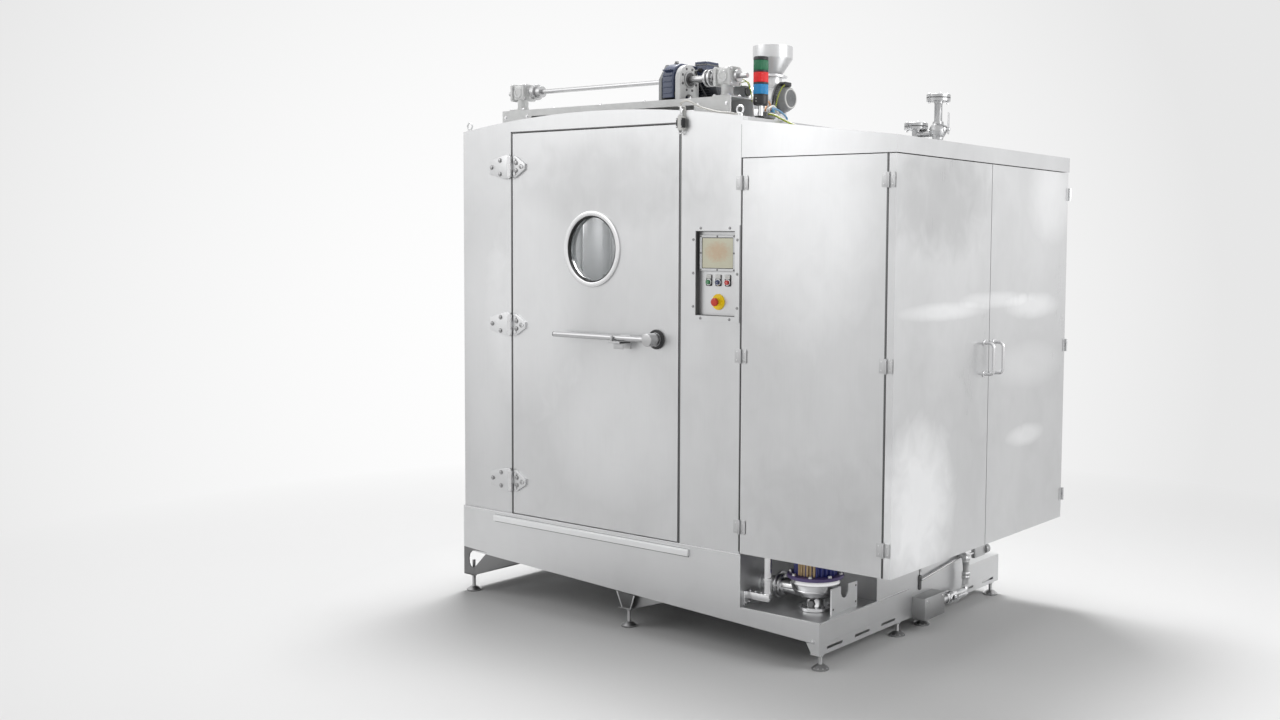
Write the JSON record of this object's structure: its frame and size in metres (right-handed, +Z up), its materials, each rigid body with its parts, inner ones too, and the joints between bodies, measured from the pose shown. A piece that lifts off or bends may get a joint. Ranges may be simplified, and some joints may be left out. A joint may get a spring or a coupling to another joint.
{
  "type": "trolley washing cabin",
  "caption": "Walk-in stainless steel washing cabin with a windowed swing door, roof-driven spray columns, pump bay and folding-door service cabinet on a sump tank",
  "frame": {"origin": "centre of the cabin's box, on the floor under its levelling feet", "axes": "+X to the right seen from the wash door, +Y from the wash door into the chamber, +Z up; metres"},
  "size_m": [2.8156, 1.8666, 2.9643],
  "materials": {
    "brushed_steel": "satin brushed stainless sheet",
    "polished_steel": "bright polished stainless",
    "white_paint": "white paint",
    "slate_paint": "slate blue paint",
    "motor_black": "black paint on ribbed casting",
    "motor_grey": "grey paint",
    "motor_blue": "blue paint on ribbed casting",
    "black_plastic": "matte black plastic",
    "black_rubber": "black sealing rubber",
    "dark_glass": "tinted toughened glass",
    "cream_screen": "lit panel under clear plastic",
    "green_lens": "translucent green lens",
    "red_lens": "translucent red lens",
    "blue_lens": "translucent blue lens",
    "green_cap": "green push-button cap",
    "blue_cap": "dark blue push-button cap",
    "red_cap": "red push-button cap",
    "yellow_disc": "yellow plastic disc",
    "cable_jacket": "light grey cable jacket"
  },
  "bodies": {
    "cabin": {"sump_tank": "brushed_steel", "floor_grate": "brushed_steel", "left_leg_frame": "brushed_steel", "middle_leg_frame": "brushed_steel", "right_foot_rail": "brushed_steel", "chamber_walls": "brushed_steel", "chamber_front": "brushed_steel", "chamber_roof": "brushed_steel", "upper_hinge": "polished_steel", "middle_hinge": "polished_steel", "lower_hinge": "polished_steel", "interlock_switch": "black_plastic", "drive_beam": "white_paint", "left_gearbox": "white_paint", "right_gearbox": "white_paint", "gear_reducer": "slate_paint", "drive_motor": "motor_black", "bearing_plate": "white_paint", "stack_light_post": "black_plastic", "blue_lens": "blue_lens", "red_lens": "red_lens", "green_lens": "green_lens", "fan_casing": "brushed_steel", "fan_motor": "motor_grey", "exhaust_stack": "brushed_steel", "steam_pipework": "brushed_steel", "switch_conduit": "cable_jacket", "roof_hoses": "cable_jacket", "cabinet_roof": "brushed_steel", "cabinet_floor": "brushed_steel", "cabinet_frame": "brushed_steel", "control_frame": "brushed_steel", "hmi_panel": "cream_screen", "legend_plates": "black_plastic", "estop_base": "yellow_disc", "pump_casing": "polished_steel", "pump_motor": "motor_blue", "pump_riser": "polished_steel", "drain_pipework": "brushed_steel"},
    "wash_door": {"wash_door": "brushed_steel", "door_seal": "black_rubber", "window_rings": "polished_steel", "window_glass": "dark_glass", "lever_catch": "brushed_steel"},
    "door_lever": {"door_lever": "polished_steel"},
    "service_door": {"service_door": "brushed_steel"},
    "side_door_front": {"side_door_front": "brushed_steel", "front_pull_handle": "polished_steel"},
    "side_door_rear": {"side_door_rear": "brushed_steel", "rear_pull_handle": "polished_steel"},
    "drive_shaft": {"drive_shaft": "polished_steel"},
    "spray_column_left": {"spray_column_left": "polished_steel"},
    "spray_column_right": {"spray_column_right": "polished_steel"},
    "fan_wheel": {"fan_wheel": "brushed_steel"},
    "pump_impeller": {"pump_impeller": "brushed_steel"},
    "start_button": {"start_button": "green_cap"},
    "reset_button": {"reset_button": "blue_cap"},
    "stop_button": {"stop_button": "red_cap"},
    "estop_mushroom": {"estop_mushroom": "red_cap"},
    "drain_valve_lever": {"drain_valve_lever": "polished_steel"}
  },
  "joints": [
    {"name": "wash_door_hinge", "type": "hinge", "parent": "cabin", "child": "wash_door", "pos_m": [-1.02, -0.86935, 1.49], "axis": [0, 0, -1], "range_deg": [0, 120]},
    {"name": "door_lever_pivot", "type": "hinge", "parent": "wash_door", "child": "door_lever", "pos_m": [-0.002, -0.84935, 1.468], "axis": [0, 1, 0], "range_deg": [0, 90]},
    {"name": "service_door_hinge", "type": "hinge", "parent": "cabin", "child": "service_door", "pos_m": [0.518, -0.85685, 1.4], "axis": [0, 0, -1], "range_deg": [0, 110]},
    {"name": "side_door_fold", "type": "hinge", "parent": "service_door", "child": "side_door_front", "pos_m": [1.311, -0.85685, 1.4], "axis": [0, 0, -1], "range_deg": [0, 170]},
    {"name": "side_door_rear_hinge", "type": "hinge", "parent": "cabin", "child": "side_door_rear", "pos_m": [1.3555, 0.92815, 1.4], "axis": [0, 0, 1], "range_deg": [0, 120]},
    {"name": "line_shaft_turn", "type": "hinge", "parent": "cabin", "child": "drive_shaft", "pos_m": [-0.435, -0.64935, 2.744], "axis": [1, 0, 0], "continuous": true},
    {"name": "spray_column_left_turn", "type": "hinge", "parent": "cabin", "child": "spray_column_left", "pos_m": [-1.148, -0.64935, 1.6], "axis": [0, 0, 1], "continuous": true},
    {"name": "spray_column_right_turn", "type": "hinge", "parent": "cabin", "child": "spray_column_right", "pos_m": [0.266, -0.64935, 1.6], "axis": [0, 0, 1], "continuous": true},
    {"name": "fan_wheel_turn", "type": "hinge", "parent": "cabin", "child": "fan_wheel", "pos_m": [0.133, -0.09935, 2.693], "axis": [1, 0, 0], "continuous": true},
    {"name": "pump_impeller_turn", "type": "hinge", "parent": "cabin", "child": "pump_impeller", "pos_m": [0.818, -0.64935, 0.35], "axis": [0, 0, 1], "continuous": true},
    {"name": "start_button_push", "type": "slide", "parent": "cabin", "child": "start_button", "axis": [0, 1, 0], "range_m": [0, 0.003], "stiffness_N_per_m": 300, "springref_m": -0.003},
    {"name": "reset_button_push", "type": "slide", "parent": "cabin", "child": "reset_button", "axis": [0, 1, 0], "range_m": [0, 0.003], "stiffness_N_per_m": 300, "springref_m": -0.003},
    {"name": "stop_button_push", "type": "slide", "parent": "cabin", "child": "stop_button", "axis": [0, 1, 0], "range_m": [0, 0.003], "stiffness_N_per_m": 300, "springref_m": -0.003},
    {"name": "estop_push", "type": "slide", "parent": "cabin", "child": "estop_mushroom", "axis": [0, 1, 0], "range_m": [0, 0.005], "stiffness_N_per_m": 400, "springref_m": -0.005},
    {"name": "drain_valve_turn", "type": "hinge", "parent": "cabin", "child": "drain_valve_lever", "pos_m": [1.028, 0.28065, 0.122], "axis": [1, 0, 0], "range_deg": [0, 90]}
  ],
  "couplings": [
    {"joint": "spray_column_left_turn", "follows": "line_shaft_turn", "ratio": 1},
    {"joint": "spray_column_right_turn", "follows": "line_shaft_turn", "ratio": 1}
  ]
}
